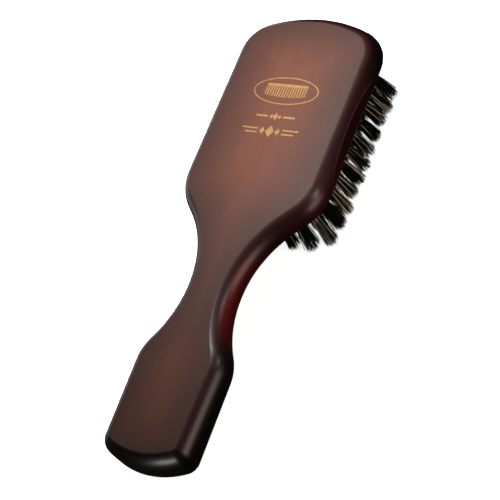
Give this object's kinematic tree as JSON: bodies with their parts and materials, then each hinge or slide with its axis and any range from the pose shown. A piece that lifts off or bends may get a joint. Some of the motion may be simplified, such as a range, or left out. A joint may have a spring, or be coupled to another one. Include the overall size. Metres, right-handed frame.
{
  "type": "fade brush",
  "caption": "Flat-backed wooden club brush with a rectangular head of short trimmed boar tufts, a slender waist and a paddle handle; the tufts are pinned in blind holes by flat wire anchors.",
  "frame": {"origin": "On the plane of the bristle tips, half way along the brush and on its centre line.", "axes": "+X runs along the brush towards the end of the head, +Y runs across it, +Z points out of the flat back, away from the bristles."},
  "size_m": [0.178, 0.0592, 0.0235],
  "materials": {
    "wood": "satin",
    "bristle": "satin",
    "anchor_wire": "satin"
  },
  "bodies": {
    "root": {"body": "wood", "tuft_row_01": "bristle", "tuft_row_02": "bristle", "tuft_row_03": "bristle", "tuft_row_04": "bristle", "tuft_row_05": "bristle", "tuft_row_06": "bristle", "tuft_row_07": "bristle", "tuft_row_08": "bristle", "tuft_row_09": "bristle", "tuft_row_10": "bristle", "tuft_row_11": "bristle", "tuft_row_12": "bristle", "tuft_row_13": "bristle", "anchor_row_01": "anchor_wire", "anchor_row_02": "anchor_wire", "anchor_row_03": "anchor_wire", "anchor_row_04": "anchor_wire", "anchor_row_05": "anchor_wire", "anchor_row_06": "anchor_wire", "anchor_row_07": "anchor_wire", "anchor_row_08": "anchor_wire", "anchor_row_09": "anchor_wire", "anchor_row_10": "anchor_wire", "anchor_row_11": "anchor_wire", "anchor_row_12": "anchor_wire", "anchor_row_13": "anchor_wire"}
  },
  "joints": []
}
